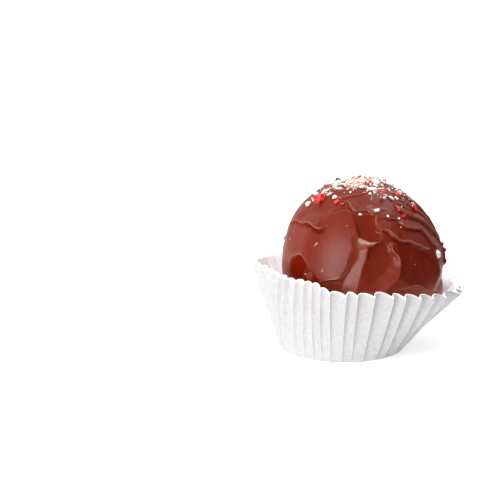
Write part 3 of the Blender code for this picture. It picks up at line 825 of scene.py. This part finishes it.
def chocolate_finish():
    made, shader = solid_finish("milk_chocolate", (0.27, 0.025, 0.008), 0.4)
    tree = made.node_tree
    patches = add_mottle(tree, grain_mm=9, detail=2, low=0.4, high=0.62)
    flecks = add_mottle(tree, grain_mm=1.1, detail=4, low=0.55, high=0.75)
    streaks = add_mottle(tree, grain_mm=1.6, detail=5, low=0.3, high=0.7)
    painted_light = add_node(tree, "Attribute", attribute_name="painted_light").outputs["Fac"]
    # the tone below 0 mixes in painted shade, and above 0 a painted highlight under the coat
    painted_shade = share_of_range(tree, painted_light, -1)
    painted_highlight = share_of_range(tree, painted_light, 1)
    colour = mix_colours(tree, patches, *CHOCOLATE_SHADES)
    colour = mix_colours(tree, flecks, colour, FLECK_COLOUR)
    colour = mix_colours(tree, painted_shade, colour, PAINTED_SHADE_COLOUR)
    colour = mix_colours(tree, painted_highlight, colour, PAINTED_HIGHLIGHT_COLOUR)
    # the socket's own value, under the link set below; kept by an export that drops the
    # link
    shader.inputs["Specular IOR Level"].default_value = SHINE
    feed(shader, {
        "Base Color": colour,
        "Roughness": mix_values(tree, patches, *SATIN_ROUGHNESS),
        "Specular IOR Level": mix_values(tree, painted_shade, SHINE, SHINE_IN_FOLDS),
        "Coat Weight": painted_highlight,
        "Coat Roughness": 0.15,
        "Subsurface Weight": 0.2,
        "Subsurface Radius": (1, 0.2, 0.1),
        "Subsurface Scale": 0.8 * MM,
        "Normal": bump(tree, streaks, distance_mm=0.05, strength=0.35),
    })
    return made


ball.data.materials.append(chocolate_finish())
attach(ball, "root")
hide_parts("chocolate_sphere")
print("chocolate finish on", ball.name)

# %% [markdown]
# ## Crushed candy
#
# Crushed hard candy breaks into splinters with flat sides and blunt corners. The convex hull of a few
# random points has just that look, and a small bevel blunts its edges. Each splinter is dropped along the
# line from the ball's middle and sunk a little, because it was pressed into soft chocolate. The large ones
# stand about where the solid has them, and all splinters of one colour are joined into one mesh.

# %% The candy splinters
# kind: [(around, up, length, width, slant in the front view in degrees)]
CANDY = {
    "white": [
        (-88, 73, 2.3, 1.9, 20), (-60, 71, 1.2, 0.8, 60), (-77, 64, 1.2, 0.7, 10), (-62, 63, 1.4, 0.7, 25),
        (-47, 62, 1.5, 1, 5), (-93, 55, 1.2, 0.9, 30), (-76, 53, 1.6, 0.7, 70), (-76, 48, 2, 1.4, 55),
        (-105, 50, 1.3, 1.1, 40), (25, 75, 3.2, 0.9, -10), (15, 70, 1, 0.9, 0), (-3, 78, 1.3, 1, 20),
        (-60, 85, 1.5, 1.2, 0), (-95, 77, 1.5, 1.1, 30), (85, 80, 2.8, 1.8, -10), (46, 62, 2.1, 1.3, -15),
        (35, 63, 1, 0.9, 0), (55, 60, 1.4, 0.9, 0), (42, 66, 1, 0.7, -20), (14, 52, 1.7, 1.1, 15),
        (-3, 49, 0.9, 0.7, -30), (26, 46, 0.8, 0.7, 0), (69, 11, 2.3, 1.5, -60),
    ],
    "red": [
        (-65, 57, 3, 2.3, 60), (-60, 52, 1.3, 1, -10), (-65, 53, 1.1, 0.9, 40), (-37, 58, 1.6, 1.3, 10),
        (-27, 58, 1.5, 1.1, 80), (-5, 82, 1.3, 0.8, 40), (57, 84, 1.3, 1.1, 0), (128, 70, 1.4, 1.2, 60),
        (142, 74, 1.1, 0.8, 45), (64, 62, 2.3, 1.8, 20), (34, 65, 1.6, 1.3, 80), (73, 47, 2.1, 1.7, -60),
        (45, 44, 1.5, 1.2, 30), (43, 51, 1.2, 1, 70), (82, 61, 1.3, 0.9, 10), (113, 60, 0.9, 0.8, 40),
    ],
}
CORNERS = 14
THICKNESS = (0.75, 1)
CRUMBS = 30
CRUMB_CORNERS = 9
CRUMB_SIZE = (0.8, 1.5)
CRUMB_SHAPE = (0.6, 0.9)
CRUMB_SPREAD = 34
CRUMB_THINNING = 0.6
CRUMBS_AROUND = (100, 260)
RED_SHARE = 0.25
CANDY_SEED = 11
SUNK_SHARE = 0.25
BLUNT = 0.06


def splinter(draw, length, width, corners, blunt):
    """One splinter at the origin as a bmesh, with its lowest and highest z; lengths in millimetres."""
    bm = bmesh.new()
    for _ in range(corners):
        bm.verts.new(Vector([draw.gauss(0, 1) for _ in range(3)]).normalized())
    bmesh.ops.convex_hull(bm, input=bm.verts[:])
    bmesh.ops.delete(bm, geom=[v for v in bm.verts if not v.link_faces], context="VERTS")
    bmesh.ops.recalc_face_normals(bm, faces=bm.faces[:])
    for axis, size in enumerate((length, width, width * draw.uniform(*THICKNESS))):
        ends = [v.co[axis] for v in bm.verts]
        for vertex in bm.verts:
            vertex.co[axis] *= size * MM / (max(ends) - min(ends))
    if blunt:
        bmesh.ops.bevel(bm, geom=bm.edges[:], offset=blunt * width * MM, segments=1, affect="EDGES")
    heights = [v.co.z for v in bm.verts]
    return bm, min(heights), max(heights)


class Heap:
    """Splinters of one kind, gathered as plain lists until they become one mesh."""

    def __init__(self, name):
        self.name = name
        self.points = []
        self.faces = []

    def drop(self, draw, place, length, width, corners, slant=None, sunk=SUNK_SHARE, blunt=BLUNT):
        """Adds a splinter on the ball in the direction of place."""
        bm, lowest, highest = splinter(draw, length, width, corners, blunt)
        out = Vector(place)
        surface = ball.ray_cast(BALL_MIDDLE, out)[1]
        tilt = math.radians(draw.uniform(0, 360) if slant is None else slant)
        along = Vector((math.cos(tilt), 0, math.sin(tilt)))
        along = (along - along.dot(out) * out).normalized()
        turn = Matrix((along, out.cross(along), out)).transposed().to_4x4()
        centre = surface - out * (lowest + sunk * (highest - lowest))
        move = Matrix.Translation(centre) @ turn
        first = len(self.points)
        bm.verts.index_update()
        self.points += [move @ v.co for v in bm.verts]
        self.faces += [[first + v.index for v in face.verts] for face in bm.faces]
        bm.free()

    def finish(self, material):
        """The heap as one piece that rides with the ball."""
        mesh = bpy.data.meshes.new(self.name)
        mesh.from_pydata(self.points, [], self.faces)
        mesh.materials.append(material)
        made = new_object(self.name, mesh)
        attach(made, "root")
        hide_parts("chocolate_sphere")
        return made


bpy.context.view_layer.update()
heaps = {"white": Heap("white_candy"), "red": Heap("red_candy")}
candy_draw = random.Random(CANDY_SEED)
for kind, rows in CANDY.items():
    for around, up, length, width, slant in rows:
        heaps[kind].drop(candy_draw, direction(around, up), length, width, CORNERS, slant)
scatter = random.Random(CANDY_SEED)
for _ in range(CRUMBS):
    up = 90 - CRUMB_SPREAD * scatter.random() ** CRUMB_THINNING
    place = direction(scatter.uniform(*CRUMBS_AROUND), up)
    kind = "red" if scatter.random() < RED_SHARE else "white"
    length = scatter.uniform(*CRUMB_SIZE)
    width = length * scatter.uniform(*CRUMB_SHAPE)
    heaps[kind].drop(candy_draw, place, length, width, CRUMB_CORNERS, scatter.uniform(0, 360))
print("faces of white and red splinters:", len(heaps["white"].faces), len(heaps["red"].faces))

# %% [markdown]
# ## Candy dust
#
# Between the splinters lie cream-coloured crumbs, thickest on the very top where the candy was sprinkled,
# and pink grains. They are too fine for the solid, so they exist only here.

# %% Candy dust
# around, up, spread in degrees, how many
DUST_CLUSTERS = [
    (-60, 84, 11, 420), (-85, 72, 8, 70), (70, 80, 9, 60), (34, 74, 8, 45),
    (80, 62, 11, 60), (-75, 60, 9, 40), (170, 76, 16, 200),
]
DUST_SIZE = (0.3, 1)
DUST_WIDTH = 0.75
DUST_CORNERS = 7
DUST_SPREAD = 0.6
FACE_SUNK_SHARE = 0.5
# the cream crumb at around -44, up 1 is put where a small white highlight shows in the pit, so it is partly a
# painted highlight
# kind, around, up, length, width, slant
FACE_CRUMBS = [
    ("pink", -38, 23, 1.3, 0.45, 45), ("cream", -44, 1, 0.5, 0.5, 0), ("pink", -29, 6, 0.8, 0.5, 60),
    ("pink", -74, 20, 0.7, 0.5, 90), ("pink", -14, 39, 0.45, 0.4, 0), ("pink", 10, 57, 0.45, 0.4, 0),
    ("pink", 35, 37, 0.6, 0.6, 0), ("cream", 36, 43, 0.55, 0.5, 0), ("pink", 42, 9, 0.35, 0.35, 0),
]
DUST_PINK_SHARE = 0.16
DUST_SEED = 5


def cluster_place(draw, around, up, spread):
    """A random direction round a middle, thinning out with distance."""
    middle = Vector(direction(around, up))
    side = middle.orthogonal().normalized()
    side.rotate(Matrix.Rotation(draw.uniform(0, 2 * math.pi), 3, middle))
    away = math.radians(spread) * abs(draw.gauss(0, DUST_SPREAD))
    return middle * math.cos(away) + side * math.sin(away)


heaps["cream"] = Heap("cream_crumbs")
heaps["pink"] = Heap("pink_crumbs")
dust_draw = random.Random(DUST_SEED)
for around, up, spread, count in DUST_CLUSTERS:
    for _ in range(count):
        place = cluster_place(dust_draw, around, up, spread)
        kind = "pink" if dust_draw.random() < DUST_PINK_SHARE else "cream"
        length = DUST_SIZE[0] + (DUST_SIZE[1] - DUST_SIZE[0]) * dust_draw.random() ** 2
        heaps[kind].drop(dust_draw, place, length, length * DUST_WIDTH, DUST_CORNERS, blunt=0)
for kind, around, up, length, width, slant in FACE_CRUMBS:
    place = direction(around, up)
    heaps[kind].drop(dust_draw, place, length, width, CRUMB_CORNERS, slant, FACE_SUNK_SHARE, blunt=0)
print("faces of cream and pink crumbs:", len(heaps["cream"].faces), len(heaps["pink"].faces))

# %% [markdown]
# ## Candy finishes
#
# Hard candy is sugar glass: glossy where it is whole and milky where it is crushed. The light goes a
# little way in and comes out again, which subsurface scattering gives. The red splinters run from deep
# red to coral, because some broke where red met white.

# %% The candy finishes
SUGAR_GRAIN_MM = 0.25
SUGAR_ROUGHER = (-0.08, 0.15)


def candy_finish(name, first, second, grain_mm, glow, roughness):
    made, shader = solid_finish(name, first, roughness)
    tree = made.node_tree
    parts = add_mottle(tree, grain_mm, detail=1, low=0.42, high=0.58)
    sugar = add_mottle(tree, SUGAR_GRAIN_MM, detail=3, low=0.3, high=0.7)
    feed(shader, {
        "Base Color": mix_colours(tree, parts, first, second),
        "Roughness": mix_values(tree, sugar, *(roughness + more for more in SUGAR_ROUGHER)),
        "Subsurface Weight": glow,
        "Subsurface Radius": (1, 1, 1),
        "Subsurface Scale": 0.3 * MM,
        "Normal": bump(tree, sugar, distance_mm=0.04, strength=0.4),
    })
    return made


# kind: first colour, second colour, grain of their mix, subsurface weight, roughness
CANDY_FINISHES = {
    "white": ((0.93, 0.9, 0.86), (0.97, 0.95, 0.92), 1.8, 0.8, 0.45),
    "red": ((0.6, 0.002, 0.01), (0.82, 0.07, 0.07), 2.2, 0.2, 0.25),
    "cream": ((0.85, 0.72, 0.58), (0.93, 0.88, 0.8), 1.2, 0.5, 0.5),
    "pink": ((0.72, 0.12, 0.1), (0.85, 0.4, 0.36), 1, 0.2, 0.4),
}
candy_pieces = []
for kind, heap in heaps.items():
    piece = heap.finish(candy_finish(heap.name, *CANDY_FINISHES[kind]))
    candy_pieces.append(piece)
print("candy pieces:", [heap.name for heap in heaps.values()])

# %% [markdown]
# ## The paper case
#
# A paper case is a flat disc of greaseproof paper, pressed into flutes that are sharp on the outside and
# rounded in the valleys. Each falls steeply on one side and climbs gently on the other, and is rounder at
# the rim. Those at the right front are deeper. The ball sits back and to the right, so the wall leans
# furthest there. A grid is wrapped round into the wall, by rows up the slope and columns round the flutes.

# %% How the wall stands
BASE_RADIUS = 16 * MM
FLUTES = 40
FLUTE_AT_BASE = 0.1 * MM
FLUTE_AT_RIM = 0.82 * MM
FLUTE_FLATNESS = 1.7
FLUTE_SKEW = 0.5
RIM_FLATNESS = 2.5
RIM_SKEW = 0.66
RIM_NEARNESS = 6
FLUTE_GROWTH = 0.7
TILT_GROWTH = 5
FLUTE_DEPTHS = (0.82, 1.08)
DEEPER_FLUTES = range(8, 15)
DEEPER_BY = 1.25
CREASE_SHIFT = 0.12
PAPER_THICKNESS = 0.2 * MM
# around, lean from upright, slant length, how much steeper the rim stands than the middle
WALL = [
    (-92, 18.5, 22.8, 6), (-66, 13, 22.5, 6), (-40, 14, 22.3, 5), (-19, 18, 22.9, 3), (-6, 26.5, 23, 1),
    (20, 30.5, 23, 0), (45, 37, 22.4, 0), (76, 43.6, 21.6, 0), (100, 45.3, 20.9, 0), (130, 50.3, 21, 0),
    (170, 43, 21.3, 1), (210, 32, 21.5, 3), (240, 26, 22, 5),
]
# around at the rim, around at the base
FRONT_CREASES = [(-42, -60), (-33, -46), (-25.5, -35), (-19, -26), (-12.5, -18), (-6.5, -9.5), (2.5, 0.5)]
FRONT_CREASES += [(8.5, 9), (17.5, 20), (27.5, 33), (34, 43), (43, 56), (51.5, 67.5), (61, 76), (76, 92)]


def wall_values(around):
    """The row of WALL for any place around the case, by a smooth curve through the rows."""
    rows = np.array(WALL, float)
    from_first = (around - rows[0, 0]) % 360 + rows[0, 0]
    first = int(np.searchsorted(rows[:, 0], from_first, side="right")) - 1
    turn = np.array([360, 0, 0, 0])
    before, start, end, after = (
        rows[(first + k) % len(rows)] + turn * ((first + k) // len(rows)) for k in (-1, 0, 1, 2)
    )
    t = (from_first - start[0]) / (end[0] - start[0])
    slope_start = (end - before) / (end[0] - before[0]) * (end[0] - start[0])
    slope_end = (after - start) / (after[0] - start[0]) * (end[0] - start[0])
    return (
        start * (1 + 2 * t) * (1 - t) ** 2
        + slope_start * t * (1 - t) ** 2
        + end * t * t * (3 - 2 * t)
        + slope_end * t * t * (t - 1)
    )


def creases():
    """The outward creases, once around and closed: around at the rim and around at the base."""
    front = np.array(FRONT_CREASES, float)
    closing = front[0] + 360
    missing = FLUTES - len(front)
    draw = random.Random(SMEAR_SEED)
    shares = [(i + 1 + draw.uniform(-CREASE_SHIFT, CREASE_SHIFT)) / (missing + 1) for i in range(missing)]
    rest = [front[-1] + share * (closing - front[-1]) for share in shares]
    return np.vstack([front, rest, closing])


folds = creases()
print("flutes:", len(folds) - 1, "lean at the front and at the right:", wall_values(0)[1], wall_values(76)[1])

# %% The case mesh
FINE_COLUMNS = 14
FINE_ROWS = 26
CASE_SEED = 8
WELDED_WITHIN = 0.001 * MM
BASE_BELOW = 0.1 * MM
CREASE_ANGLE = math.radians(40)


def wall_point(rim_around, base_around, share, ridge):
    """A point of the wall's outer skin: share runs from 0 at the base to 1 at the rim, and ridge from
    0 on a crease to -1 in the bottom of a flute."""
    _, lean, slant, bow = wall_values(rim_around)
    now = math.radians(lean + bow * (1 - 2 * share))
    middle = math.radians(lean + bow * (1 - share))
    out = BASE_RADIUS + slant * MM * share * math.sin(middle)
    height = slant * MM * share * math.cos(middle)
    depth = 2 * ridge * (FLUTE_AT_BASE + (FLUTE_AT_RIM - FLUTE_AT_BASE) * share**FLUTE_GROWTH)
    out += depth * math.cos(now)
    height -= depth * math.sin(now) * min(1, TILT_GROWTH * share)
    turn = math.radians(base_around + (rim_around - base_around) * share)
    return Vector((out * math.sin(turn), -out * math.cos(turn), height))


def make_case():
    """The wall from a grid, closed by the base and thickened."""
    columns = FLUTES * FINE_COLUMNS
    draw = random.Random(CASE_SEED)
    depths = [draw.uniform(*FLUTE_DEPTHS) for _ in range(FLUTES)]
    for flute in DEEPER_FLUTES:
        depths[flute] *= DEEPER_BY
    bm = bmesh.new()
    bmesh.ops.create_grid(bm, x_segments=columns, y_segments=FINE_ROWS, size=0.5)
    for vertex in bm.verts:
        column = round((vertex.co.x + 0.5) * columns)
        flute = min(column // FINE_COLUMNS, FLUTES - 1)
        part = column / FINE_COLUMNS - flute
        rim_around, base_around = folds[flute] + part * (folds[flute + 1] - folds[flute])
        share = vertex.co.y + 0.5
        skew = FLUTE_SKEW + (RIM_SKEW - FLUTE_SKEW) * share**RIM_NEARNESS
        flatness = FLUTE_FLATNESS + (RIM_FLATNESS - FLUTE_FLATNESS) * share**RIM_NEARNESS
        hollow = 1 - abs(2 * part**skew - 1) ** flatness
        vertex.co = wall_point(rim_around, base_around, share, -depths[flute] * hollow)
    bmesh.ops.remove_doubles(bm, verts=bm.verts[:], dist=WELDED_WITHIN)
    base_edges = [e for e in bm.edges if e.is_boundary and max(v.co.z for v in e.verts) < BASE_BELOW]
    base = bmesh.ops.contextual_create(bm, geom=base_edges)["faces"][0]
    bmesh.ops.recalc_face_normals(bm, faces=bm.faces[:])
    if base.normal.z > 0:
        bmesh.ops.reverse_faces(bm, faces=bm.faces[:])
    mesh = mesh_of(bm, "fluted_paper_case")
    mesh.shade_smooth()
    mesh.set_sharp_from_angle(angle=CREASE_ANGLE)
    case = new_object("fluted_paper_case", mesh)
    thickness = case.modifiers.new("thickness", "SOLIDIFY")
    thickness.thickness = PAPER_THICKNESS
    thickness.offset = -1
    thickness.use_even_offset = True
    return case


case = make_case()
print("faces in the wall:", len(case.data.polygons))

# %% [markdown]
# ## Greaseproof paper
#
# The paper is white, thin and matt, with cloudy spots where its fibres lie closer. Light that falls on the
# outside also comes through, which keeps the shadows in the flutes pale. The clouds come from the mottle
# group, at the grain of paper, and a very fine bump stands for the fibres.

# %% The paper finish
PAPER_SHADES = ((0.8, 0.79, 0.795), (0.88, 0.87, 0.875))
PAPER_ROUGHNESS = (0.62, 0.8)


def paper_finish():
    made, shader = solid_finish("greaseproof_paper", (0.86, 0.85, 0.85), 0.75)
    tree = made.node_tree
    clouds = add_mottle(tree, grain_mm=0.9, detail=3, low=0.3, high=0.7)
    fibres = add_mottle(tree, grain_mm=0.35, detail=4, low=0.3, high=0.7)
    feed(shader, {
        "Base Color": mix_colours(tree, clouds, *PAPER_SHADES),
        "Roughness": mix_values(tree, clouds, *PAPER_ROUGHNESS),
        "Specular IOR Level": 0.1,
        "Subsurface Weight": 0.6,
        "Subsurface Radius": (1, 1, 1),
        "Subsurface Scale": 0.35 * MM,
        "Normal": bump(tree, fibres, distance_mm=0.03, strength=0.5),
    })
    return made


case.data.materials.append(paper_finish())
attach(case, "root")
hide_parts("paper_case")
print("paper finish on", case.name)

# %% [markdown]
# ## Lights for single pieces
#
# White paper, pale candy and dark glossy chocolate can't all be lit well by the same panels. Light linking
# lets a light shine on chosen pieces alone, as a photographer does with small cards and screens.

# %% Lights for single pieces


def light_only(lights, pieces, name):
    """These lights shine on these pieces alone."""
    lit = bpy.data.collections.new(name)
    for piece in pieces:
        lit.objects.link(piece)
    for light in lights:
        light.light_linking.receiver_collection = lit


light_only(panels, [ball, floor] + candy_pieces, "lit_ball")
light_only(paper_panels, [case], "lit_case")
light_only(make_panels(CANDY_PANELS), candy_pieces, "lit_candy")
print("lights of the candy alone:", list(CANDY_PANELS))

# %% [markdown]
# ## The end
#
# The view layer is brought up to date once more.

# %% The end
bpy.context.view_layer.update()
